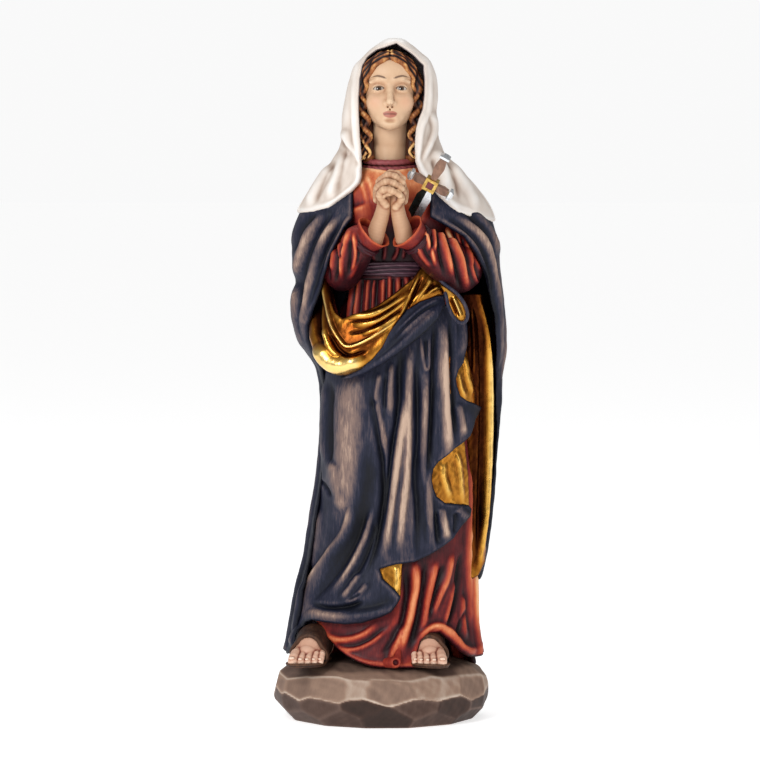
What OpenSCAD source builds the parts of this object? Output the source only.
// Painted wood figure of a praying madonna on a rock base, with a sword that
// lifts out of a socket in the breast. Millimetres, +Z up, front towards -Y,
// origin at the centre of the base's underside. Left and right are the
// figure's own, so its right side is at -X.

/* [Figure] */
// Height of the whole statue
statue_h = 400; // [300:10:600]
// Number of flats round a carved garment
garment_sides = 32; // [28:4:40]
// Height of one carved ring of a garment
ring_step = 11; // [9:1:14]

/* [Base] */
// Width of the rock base at its widest
base_w = 125; // [115:1:135]
// Depth of the rock base, front to back
base_d = 112; // [104:1:120]
// Height of the rock base
base_h = 35; // [35:1:36]

/* [Sword] */
// Length of the blade below the guard block
blade_l = 42; // [38:1:44]
// Width of the blade at its broadest
blade_w = 9; // [7:0.5:10]
// Thickness of the blade at its ridge
blade_t = 3.2; // [2.4:0.2:3.6]
// Length of one arm of the guard, without its cap
arm_l = 7; // [6:0.5:8]
// Length of the grip, without its pommel
grip_l = 14; // [12:0.5:16]
// Side of the square guard block
block_w = 7.6; // [6:0.2:8]
// Free room round the blade in its socket
socket_gap = 0.3; // [0.2:0.05:0.5]

/* [Joinery] */
// Diameter of the dowels that hold the head and the hands
dowel_d = 5; // [4:0.5:5.5]
// Diameter of the screws that hold the figure to its base
screw_d = 4; // [3:0.5:5]
// Spacing of the two base screws
screw_spacing = 44; // [36:1:50]

/* [Hidden] */

unit = statue_h / 400; // every carved table below is drawn at 400 mm
squareness = 0.9;      // 1 is a true ellipse, less is boxier
fit_gap = 0.15;        // radial room round a dowel or screw
far = 200;             // reach of a cutting prism

// Rows of a garment are [height, left, right, front, back].
gown_form = [
  [base_h, -42, 54, -37, 33], [60, -43, 52, -36, 33], [90, -40, 50, -33, 32],
  [130, -33, 51, -31, 31], [180, -29, 50, -30, 30], [215, -27, 46, -29, 29],
  [240, -24, 40, -28, 27], [262, -19, 33, -25, 22]
];
bodice_form = [
  [262, -19, 33, -25, 22], [275, -23, 37, -27, 23], [292, -30, 44, -29, 24],
  [306, -33, 46, -29, 25], [318, -30, 43, -26, 24], [327, -20, 30, -20, 19],
  [334, -9, 16, -14, 11]
];
belt_form = [
  [258, -22, 36, -28, 25], [264, -20.5, 34.5, -27.5, 24.5], [271, -21.5, 36.5, -28.5, 25]
];
veil_form = [
  [262, -50, 66, -30, 42], [284, -51, 65.5, -33, 41], [298, -48.5, 63.5, -34, 38],
  [311, -41.5, 55.5, -33, 35.5], [322, -35, 46.5, -29, 32.5], [331, -25, 36, -24.5, 30],
  [346, -20, 33, -22, 28], [369, -15.5, 32, -24, 26], [384, -11, 27.5, -23, 23],
  [393, -4.5, 21, -18, 16], [398, 2, 15, -11, 8], [400, 7, 10, -4, 1]
];
mantle_form = [
  [38, -58, 44, -30, 42], [60, -53.5, 50, -34, 42], [84, -48, 57, -36, 42],
  [104, -43, 61, -36, 41], [133, -38, 62.5, -35, 41], [161, -37, 65, -34, 41],
  [190, -37, 68, -34, 42], [205, -39, 69.5, -35, 42], [219, -46, 70.5, -36, 42],
  [231, -51, 71.5, -37, 42], [246, -54, 71.5, -38, 42], [259, -51, 70.5, -37, 41],
  [270, -52, 69, -36, 40], [284, -52.5, 67, -35, 38.5], [297, -48, 62.5, -32, 35.5],
  [308, -41, 54, -29, 32]
];
overskirt_form = [
  [39, -58, 60, -43, 40], [60, -54, 58, -42, 40], [84, -47.5, 58, -40, 38],
  [104, -42.5, 61, -38, 37], [133, -37, 61, -38, 36], [161, -36, 60, -37, 36],
  [190, -34, 58, -36, 35], [215, -33, 55, -35, 34], [240, -30, 49, -33, 32]
];
swag_form = [
  [200, -46, 60, -42, 20], [212, -48, 60, -47, 20], [230, -46, 58, -44, 20],
  [250, -40, 50, -38, 20], [270, -36, 45, -33, 20]
];

// Front-view outlines, each a list of [x, height] points.
mantle_opening = [
  [-16, 312], [-21, 304], [-25, 290], [-31, 276], [-34, 262], [-37, 248], [-41, 234],
  [-43, 222], [-70, 206], [-70, 30], [60, 30], [58, 84], [60, 133], [61, 190],
  [63, 246], [60, 270], [51, 290], [40, 302], [34, 312]
];
lining_outline = [[47, 246], [46, 90], [57, 87], [60, 133], [62, 190], [63, 240], [60, 246]];
loop_outline = [
  [34, 261], [38, 258], [48, 243], [49, 238], [46, 235], [42, 237], [37, 248], [34, 254]
];
face_opening = [
  [-13, 300], [-11, 320], [-12, 335], [-13.5, 350], [-14, 362], [-12, 375], [-7, 383],
  [1, 388], [9.5, 392], [17, 388], [24, 381], [26, 372], [26, 362], [25, 354],
  [20, 345], [19, 332], [19, 322], [24, 312], [31, 306], [36, 300]
];
lapel_hem = [
  [-50, 230], [-42, 300], [-25, 305], [-17, 311], [-12, 316], [-12, 330], [19, 330],
  [23, 319], [32, 309], [46, 299], [55, 230]
];
overskirt_outline = [
  [-60, 38], [-52, 42], [-48, 55], [-42, 60], [-30, 59], [-12, 60], [3, 66], [11, 76],
  [5, 82], [-1, 92], [19, 95], [35, 104], [47, 116], [53, 125], [45, 129], [33, 132],
  [29, 144], [36, 156], [49, 165], [55, 177], [59, 184], [48, 190], [44, 200],
  [47, 210], [50, 220], [46, 237], [36, 246], [20, 240], [-34, 206], [-60, 206]
];
swag_outline = [
  [-33, 265], [-36, 254], [-41, 242], [-43, 228], [-42, 219], [-38, 211], [-32, 206],
  [-24, 204], [-12, 207], [-4, 214], [1, 221], [5, 230], [12, 239], [20, 245], [32, 250],
  [35, 254], [33, 260], [26, 265], [18, 260], [8, 252], [-3, 245], [-15, 241], [-24, 239],
  [-29, 247], [-32, 258]
];
roll_outline = [
  [-18, 204], [-12, 206], [-4, 213], [1, 220], [5, 229], [12, 238], [20, 244], [34, 249],
  [37, 245], [34, 240], [26, 232], [17, 225], [8, 218], [-1, 211], [-10, 206]
];
lining_outlines = [
  [[46, 222], [40, 214], [39, 190], [50, 184], [59.5, 185], [56, 203], [52, 220]],
  [[50, 170], [36, 164], [24, 146], [26, 130], [40, 124], [53, 126], [51, 148]],
  [[-5, 98], [-3, 82], [9, 72], [11, 77], [11, 100]]
];

// Arms, hands and feet: joints of the limbs as [x, y, height] and radii.
elbow_r = [-22, -12, 262];
elbow_l = [49, -12, 262];
shoulder_r = [-26, 0, 296];
shoulder_l = [43, 0, 296];
wrist_r = [-6, -43, 281];
wrist_l = [16, -43, 281];
knuckle_r = [0.5, -43, 309];
knuckle_l = [8.5, -43, 309];
head_at = [5.5, -5, 367];
neck_base = [4, -2, 326];
ball_r = [-43, -34, base_h];
heel_r = [-37, -12, base_h];
ball_l = [27.5, -36, base_h];
heel_l = [25, -14, base_h];
sword_at = [28, -38, 315];
sword_tilt = [25, 28, 0];

// A carved shape is free-form, so it is evaluated as one mesh.
module carved() {
  scale(unit) resize([0, 0, 0]) children();
}

function row_below(t, z) = max([for (i = [0 : len(t) - 2]) if (i == 0 || z >= t[i][0]) i]);
function slope(t, i, c) =
  let (a = max(i - 1, 0), b = min(i + 1, len(t) - 1)) (t[b][c] - t[a][c]) / (t[b][0] - t[a][0]);
// A smooth curve through column c of a form, at height z.
function form_at(t, z, c) =
  let (
    i = row_below(t, z),
    h = t[i + 1][0] - t[i][0],
    u = (z - t[i][0]) / h
  )
  (2 * u ^ 3 - 3 * u ^ 2 + 1) * t[i][c] + (u ^ 3 - 2 * u ^ 2 + u) * h * slope(t, i, c)
  + (3 * u ^ 2 - 2 * u ^ 3) * t[i + 1][c] + (u ^ 3 - u ^ 2) * h * slope(t, i + 1, c);
function bend(v) = sign(v) * abs(v) ^ squareness;
function ring(t, z, sides, grow) =
  let (
    l = form_at(t, z, 1) - grow, r = form_at(t, z, 2) + grow,
    f = form_at(t, z, 3) - grow, b = form_at(t, z, 4) + grow
  )
  [for (i = [0 : sides - 1]) let (a = 360 * i / sides)
    [(l + r) / 2 + (r - l) / 2 * bend(sin(a)), (f + b) / 2 - (b - f) / 2 * bend(cos(a)), z]];

// A closed solid through the rings of a form, from its first height to its last.
module loft(t, grow = 0, sides = garment_sides) {
  low = t[0][0];
  high = t[len(t) - 1][0];
  rings = ceil((high - low) / ring_step);
  points = [for (k = [0 : rings]) each ring(t, low + (high - low) * k / rings, sides, grow)];
  walls = [for (k = [0 : rings - 1], i = [0 : sides - 1])
    let (j = (i + 1) % sides)
    each [[k * sides + i, (k + 1) * sides + i, k * sides + j],
          [(k + 1) * sides + i, (k + 1) * sides + j, k * sides + j]]];
  bottom = [[for (i = [0 : sides - 1]) i]];
  top = [[for (i = [sides - 1 : -1 : 0]) rings * sides + i]];
  polyhedron(points, concat(walls, bottom, top));
}

// A prism on a front-view outline, from depth y0 back to depth y1.
module front_prism(outline, y0 = -far, y1 = 0) {
  translate([0, y1, 0]) rotate([90, 0, 0]) linear_extrude(y1 - y0) polygon(outline);
}
module limb(a, b, ra, rb, fn = 20) {
  hull() {
    translate(a) sphere(ra, $fn = fn);
    translate(b) sphere(rb, $fn = fn);
  }
}
module in_sword_frame() {
  translate(sword_at) rotate(sword_tilt) children();
}

// ---- base ----
function rock_ring(w, d, count, turn) =
  [for (i = [0 : count - 1])
    let (a = 360 * (i + turn) / count + 6 * sin(137 * i), k = 1 - 0.035 * abs(sin(71 * i + 40)))
    [w / 2 * k * sin(a), d / 2 * k * cos(a)]];
module rock_layer(z, w, d, count, turn) {
  translate([0, 0, z]) linear_extrude(0.4) polygon(rock_ring(w, d, count, turn));
}
module rock_body() {
  hull() {
    rock_layer(0, base_w * 0.82, base_d * 0.8, 13, 0);
    rock_layer(base_h * 0.34, base_w, base_d, 13, 0.3);
    rock_layer(base_h * 0.62, base_w * 0.995, base_d * 0.99, 14, 0.6);
    rock_layer(base_h * 0.86, base_w * 0.93, base_d * 0.92, 15, 0.2);
    rock_layer(base_h - 0.4, base_w * 0.86, base_d * 0.84, 15, 0.2);
  }
}
module screw_places() {
  for (side = [-1, 1]) translate([5 + side * screw_spacing / 2, 0, 0]) children();
}
module base_rock() {
  color("dimgray") scale(unit) difference() {
    rock_body();
    screw_places() {
      translate([0, 0, -1]) cylinder(d = screw_d + 2 * fit_gap, h = base_h + 2, $fn = 48);
      translate([0, 0, -1]) cylinder(d = 2 * screw_d + 1, h = 5, $fn = 48);
    }
    translate([5, 0, base_h - 15]) cylinder(d = dowel_d + 2 * fit_gap, h = 20, $fn = 48);
  }
}
module base_screws() {
  color("silver") scale(unit) screw_places() {
    translate([0, 0, 1]) cylinder(d = 2 * screw_d, h = 3, $fn = 48);
    translate([0, 0, 3.5]) cylinder(d = screw_d, h = base_h + 14, $fn = 48);
  }
}
module base_dowel() {
  color("burlywood") scale(unit)
    translate([5, 0, base_h - 14]) cylinder(d = dowel_d, h = 28, $fn = 48);
}

// ---- feet ----
// The room that a foot stands in, under the hem.
module foot_niche(ball) {
  translate([ball[0], ball[1] - 4, base_h]) scale([11.5, 17, 15.5]) sphere(1, $fn = 24);
}
module foot(ball, heel) {
  difference() {
    union() {
      hull() {
        translate([heel[0], heel[1], base_h + 7.5]) scale([5, 6, 4]) sphere(1, $fn = 12);
        translate([ball[0], ball[1] + 3, base_h + 6.5]) scale([6, 7, 3.4]) sphere(1, $fn = 12);
      }
      for (toe = [-2 : 2])
        translate([ball[0] + toe * 2.4, ball[1] - 4.5 + abs(toe) * 0.8, base_h + 5])
          scale([1.35, 3.4, 1.8]) sphere(1, $fn = 8);
    }
    sole(ball, heel, 0);
  }
}
module sole(ball, heel, grow) {
  hull() {
    translate([heel[0], heel[1], base_h]) cylinder(r = 5.5 + grow, h = 3.2, $fn = 24);
    translate([ball[0], ball[1], base_h]) cylinder(r = 8 + grow, h = 3.2, $fn = 24);
  }
}
module sandal(ball, heel) {
  difference() {
    union() {
      sole(ball, heel, 0);
      intersection() {
        translate([(ball[0] * 2 + heel[0]) / 3, ball[1] + 5, base_h]) scale([8.2, 10, 12])
          sphere(1, $fn = 24);
        translate([-far / 2, ball[1] + 0.5, base_h]) cube([far, 7, 14]);
      }
    }
    difference() {
      foot(ball, heel);
      translate([-far / 2, ball[1] - 30, base_h - 5]) cube([far, 60, 5 + 3.2]);
    }
    difference() {
      translate([(ball[0] * 2 + heel[0]) / 3, ball[1] + 5, base_h]) scale([6, 12, 9.5])
        sphere(1, $fn = 24);
      sole(ball, heel, 1);
    }
  }
}
module foot_right() { color("burlywood") carved() foot(ball_r, heel_r); }
module foot_left() { color("burlywood") carved() foot(ball_l, heel_l); }
module sandal_right() { color("saddlebrown") carved() sandal(ball_r, heel_r); }
module sandal_left() { color("saddlebrown") carved() sandal(ball_l, heel_l); }
module niches() {
  foot_niche(ball_r);
  foot_niche(ball_l);
  for (f = [[ball_r, heel_r], [ball_l, heel_l]])
    limb([f[0][0], f[0][1], base_h + 3], [f[1][0], f[1][1] + 1, base_h + 4], 9.5, 7.5);
}

// ---- gown ----
module base_bores() {
  screw_places()
    translate([0, 0, base_h - 1]) cylinder(d = screw_d + 4 * fit_gap, h = 20, $fn = 24);
  translate([5, 0, base_h - 1]) cylinder(d = dowel_d + 4 * fit_gap, h = 16, $fn = 24);
}
module gown_skirt() {
  color("firebrick") carved() difference() {
    loft(gown_form);
    niches();
    base_bores();
    arms();
  }
}
module blade_shape(grow = 0) {
  w = blade_w / 2 + grow;
  t = blade_t / 2 + grow;
  top = 3 + block_w / 2;
  hull() {
    translate([0, 0, -10]) linear_extrude(1) polygon([[-w, 0], [0, -t], [w, 0], [0, t]]);
    translate([0, 0, -top]) linear_extrude(3)
      polygon([[-w / 2, 0], [0, -t], [w / 2, 0], [0, t]]);
    translate([0, 0, -blade_l * 0.62]) linear_extrude(1)
      polygon([[-w * 0.9, 0], [0, -t], [w * 0.9, 0], [0, t]]);
    translate([0, 0, -blade_l - 2 * grow]) linear_extrude(0.5)
      polygon([[-0.6 - grow, 0], [0, -0.4 - grow], [0.6 + grow, 0], [0, 0.4 + grow]]);
  }
}
// The space that the blade and its block sweep as the sword lifts out.
module sword_room() {
  in_sword_frame() blade_shape(socket_gap);
}
module gown_bodice() {
  color("firebrick") carved() difference() {
    loft(bodice_form);
    sword_room();
    translate(neck_base) translate([0, 0, -8]) cylinder(d = dowel_d + 4 * fit_gap, h = 30, $fn = 24);
    arms();
    neck(0.05);
    collar_ring(0.05);
  }
}
module belt() {
  color("purple") carved() difference() {
    loft(belt_form);
    loft(gown_form, 0.01);
    loft(bodice_form, 0.01);
    arms();
    swag_solid();
  }
}
module collar_ring(grow = 0) {
  translate([4, -3, 328]) rotate([-8, 0, 0]) scale([1, 0.86, 1])
    rotate_extrude($fn = 32) translate([14, 0]) circle(2.2 + grow, $fn = 10);
}
module collar() {
  color("maroon") carved() difference() {
    collar_ring();
    neck(0.02);
  }
}

// ---- arms and hands ----
module upper_arm_and_forearm(shoulder, elbow, wrist) {
  limb(shoulder, elbow, 12.5, 11.5, 16);
  limb(elbow, wrist, 11.5, 7, 16);
}
module cuff(elbow, wrist) {
  d = wrist - elbow;
  tip = wrist + d * (5 / norm(d)) + [0, 0, 3];
  limb(wrist, tip, 6.4, 6.4, 18);
}
module arms() {
  upper_arm_and_forearm(shoulder_r, elbow_r, wrist_r);
  upper_arm_and_forearm(shoulder_l, elbow_l, wrist_l);
  cuff(elbow_r, wrist_r);
  cuff(elbow_l, wrist_l);
}
module sleeve_right() {
  color("firebrick") carved() difference() {
    upper_arm_and_forearm(shoulder_r, elbow_r, wrist_r);
    cuff(elbow_r, wrist_r);
    palm(wrist_r, knuckle_r);
    wrist_bores();
    sword_room();
  }
}
module sleeve_left() {
  color("firebrick") carved() difference() {
    upper_arm_and_forearm(shoulder_l, elbow_l, wrist_l);
    cuff(elbow_l, wrist_l);
    palm(wrist_l, knuckle_l);
    wrist_bores();
    sword_room();
  }
}
module cuff_right() {
  color("maroon") carved() difference() {
    cuff(elbow_r, wrist_r);
    palm(wrist_r, knuckle_r);
    wrist_bores();
    sword_room();
  }
}
module cuff_left() {
  color("maroon") carved() difference() {
    cuff(elbow_l, wrist_l);
    palm(wrist_l, knuckle_l);
    cuff(elbow_r, wrist_r);
    wrist_bores();
    sword_room();
  }
}
module palm(wrist, knuckle) {
  hull() {
    translate(wrist) sphere(4.4, $fn = 14);
    translate(knuckle) scale([1, 1.75, 1]) sphere(4.2, $fn = 14);
  }
}
// Four fingers that fold over the back of the other hand, from the front one to the rear.
module fingers(knuckle, side, shift) {
  for (i = [0 : 3]) {
    y = knuckle[1] - 6 + 3.6 * i + shift;
    peak = [4.5 + side * 2, y, 319 - i];
    tip = [4.5 + side * 9.5, y - 0.5, 309 - i];
    limb([knuckle[0], y, 311], peak, 2, 1.9, 8);
    limb(peak, tip, 1.9, 1.6, 8);
  }
}
module hand(wrist, knuckle, side, shift) {
  palm(wrist, knuckle);
  fingers(knuckle, side, shift);
}
module hand_right() {
  color("burlywood") carved() difference() {
    hand(wrist_r, knuckle_r, 1, 0);
    wrist_bores();
    sword_room();
  }
}
module hand_left() {
  color("burlywood") carved() difference() {
    hand(wrist_l, knuckle_l, -1, 1.8);
    hand(wrist_r, knuckle_r, 1, 0);
    wrist_bores();
    sword_room();
  }
}
// Places one dowel along each forearm, through the cuff into the palm.
module at_wrists() {
  for (arm = [[elbow_r, wrist_r], [elbow_l, wrist_l]]) {
    d = (arm[1] - arm[0]) / norm(arm[1] - arm[0]);
    translate(arm[1] - d * 9) rotate([0, acos(d[2]), atan2(d[1], d[0])]) children();
  }
}
module wrist_bores() {
  at_wrists() translate([0, 0, -0.3])
    cylinder(d = dowel_d * 0.6 + 4 * fit_gap, h = 11.6, $fn = 24);
}
module wrist_dowels() {
  color("burlywood") scale(unit) at_wrists() cylinder(d = dowel_d * 0.6, h = 11, $fn = 32);
}

// ---- head ----
module neck(grow = 0) {
  limb(neck_base, head_at - [0, -2, 14], 10.5 + grow, 9.5 + grow, 20);
}
module head_form() {
  translate(head_at) rotate([-10, 0, 0]) {
    translate([0, 1, 3]) scale([14, 17, 17]) sphere(1, $fn = 22);
    hull() {
      translate([0, -4, -2]) scale([13, 13, 14]) sphere(1, $fn = 20);
      translate([0, -10, -17]) scale([6, 5, 5]) sphere(1, $fn = 12);
    }
  }
}
module head() {
  color("burlywood") carved() difference() {
    union() {
      head_form();
      neck();
    }
    translate(neck_base) translate([0, 0, -12]) cylinder(d = dowel_d + 4 * fit_gap, h = 24, $fn = 24);
  }
}
module head_dowel() {
  color("burlywood") scale(unit) translate(neck_base) translate([0, 0, -7.5])
    cylinder(d = dowel_d, h = 19, $fn = 48);
}
module hair_form() {
  translate(head_at) rotate([-10, 0, 0]) translate([0, 3, 4]) scale([16.6, 19, 18.5])
    sphere(1, $fn = 24);
  for (side = [-1, 1]) {
    limb(head_at + [side * 13, -4, -2], head_at + [side * 12.5, 0, -22], 4.2, 4, 12);
    limb(head_at + [side * 12.5, 0, -22], head_at + [side * 11.5, -1, -36], 4, 2.8, 12);
  }
}
module hair() {
  color("sienna") carved() difference() {
    hair_form();
    head_form();
    neck(0.01);
    front_prism([
      [-6.5, 340], [-8.5, 356], [-8.5, 368], [-4, 378], [5.5, 382.5], [15, 378],
      [19.5, 368], [19.5, 356], [17.5, 340]
    ], -60, -6);
    collar_ring();
    loft(bodice_form);
  }
}

// ---- veil ----
// Everything that the veil and the mantle are carved around.
module figure_inside() {
  loft(gown_form);
  loft(bodice_form);
  loft(belt_form);
  arms();
}
// The hem falls from the shoulders in front to the middle of the back.
module veil_hem() {
  translate([0, 0, 288]) rotate([-21, 0, 0]) translate([-far, -far, -far]) cube([2 * far, 2 * far, far]);
}
module veil() {
  color("linen") carved() difference() {
    loft(veil_form);
    front_prism(face_opening, -far, -8);
    front_prism(face_opening, -far, 0);
    front_prism(lapel_hem, -far, 0);
    veil_hem();
    figure_inside();
    neck(0.01);
    head_form();
    hair_form();
    collar_ring(0.01);
    loft(mantle_form);
  }
}

// ---- mantle ----
module mantle_hem() {
  // The hem of the back panel rises from the right foot to the left side.
  translate([0, far / 2 + 2, 0])
    front_prism([[-90, -50], [-90, 39], [-50, 39], [0, 47], [40, 60], [56, 84], [90, 88], [90, -50]],
      -far, far);
}
module mantle_solid() {
  difference() {
    loft(mantle_form);
    figure_inside();
    neck(0.01);
    front_prism(mantle_opening, -far, 2);
    mantle_hem();
  }
}
module mantle() {
  color("midnightblue") carved() difference() {
    mantle_solid();
    swag_solid();
    overskirt_block();
  }
}
module overskirt_block() {
  intersection() {
    difference() {
      loft(overskirt_form);
      loft(gown_form);
    }
    front_prism(overskirt_outline, -far, 2);
  }
}
module mantle_lining() {
  color("goldenrod") carved() difference() {
    intersection() {
      loft(mantle_form, -1.5);
      front_prism(lining_outline, -15, 2);
    }
    front_prism(overskirt_outline, -far, 3);
    loft(gown_form);
    arms();
    mantle_solid();
    union() for (patch = lining_outlines) front_prism(patch, -far, 3);
  }
}
module cloth_loop() {
  color("midnightblue") carved() difference() {
    front_prism(loop_outline, -36, -27);
    front_prism([[38, 250], [45.5, 242], [45.5, 238.5], [43, 239], [39, 247]], -far, -31);
    front_prism(overskirt_outline, -far, 2);
    swag_solid();
    roll_solid();
    arms();
    loft(gown_form);
  }
}
module overskirt() {
  color("midnightblue") carved() difference() {
    overskirt_block();
    niches();
    arms();
    swag_solid();
    roll_solid();
  }
}
module swag_solid() {
  intersection() {
    loft(swag_form);
    front_prism(swag_outline, -far, -2);
  }
}
module swag_inside() {
  loft(gown_form);
  loft(belt_form);
  arms();
}
module mantle_swag() {
  color("goldenrod") carved() difference() {
    swag_solid();
    swag_inside();
    loft(bodice_form);
  }
}
module roll_solid() {
  difference() {
    intersection() {
      loft(swag_form, 0.8);
      front_prism(roll_outline, -far, -2);
    }
    swag_solid();
  }
}
module swag_roll() {
  color("midnightblue") carved() difference() {
    roll_solid();
    swag_inside();
  }
}
module lining_folds() {
  color("goldenrod") carved() difference() {
    intersection() {
      loft(overskirt_form, -1.2);
      union() for (patch = lining_outlines) front_prism(patch, -far, 2);
    }
    loft(gown_form);
    front_prism(overskirt_outline, -far - 1, 3);
    mantle_solid();
  }
}

// ---- sword ----
// A bar of rectangular section that swells at two thirds of its length.
module swelling_bar(l, w_in, w_mid, w_out, t) {
  hull() {
    linear_extrude(0.1) square([w_in, t], center = true);
    translate([0, 0, l * 0.6]) linear_extrude(0.1) square([w_mid, t * 1.15], center = true);
    translate([0, 0, l - 0.1]) linear_extrude(0.1) square([w_out, t], center = true);
  }
}
module cap(w) {
  hull() {
    linear_extrude(0.6) square([w * 0.6, w * 0.55], center = true);
    translate([0, 0, 1]) linear_extrude(1.4) square([w, w * 0.9], center = true);
    translate([0, 0, 3.6]) linear_extrude(0.2) square([w * 0.35, w * 0.3], center = true);
  }
}
module guard_arms() {
  for (side = [-1, 1]) rotate([0, side * 90, 0]) translate([0, 0, block_w / 2]) children();
}
module sword_blade() {
  color("lightgray") scale(unit) in_sword_frame() difference() {
    blade_shape();
    cube([block_w, block_w, block_w], center = true);
  }
}
module sword_block() {
  color("gold") scale(unit) in_sword_frame() difference() {
    cube([block_w, 5.4, block_w], center = true);
    translate([0, -2.7, 0]) cube([block_w * 0.55, 2, block_w * 0.55], center = true);
  }
}
module sword_stone() {
  color("darkred") scale(unit) in_sword_frame() translate([0, -1.7, 0]) rotate([90, 0, 0])
    linear_extrude(0.7) square(block_w * 0.55, center = true);
}
module sword_grip() {
  color("sienna") scale(unit) in_sword_frame() translate([0, 0, block_w / 2])
    swelling_bar(grip_l, 3.4, 6, 3.6, 3.2);
}
module sword_arms() {
  color("sienna") scale(unit) in_sword_frame() guard_arms()
    swelling_bar(arm_l, 3.6, 4.6, 3.6, 3.2);
}
module sword_caps() {
  color("silver") scale(unit) in_sword_frame() {
    translate([0, 0, block_w / 2 + grip_l]) cap(6);
    guard_arms() translate([0, 0, arm_l]) cap(5.6);
  }
}

base_rock();
base_screws();
base_dowel();
gown_skirt();
gown_bodice();
belt();
collar();
sleeve_right();
sleeve_left();
cuff_right();
cuff_left();
hand_right();
hand_left();
wrist_dowels();
head();
head_dowel();
hair();
veil();
mantle();
mantle_lining();
overskirt();
mantle_swag();
swag_roll();
cloth_loop();
lining_folds();
foot_right();
foot_left();
sandal_right();
sandal_left();
sword_blade();
sword_block();
sword_grip();
sword_arms();
sword_caps();
sword_stone();
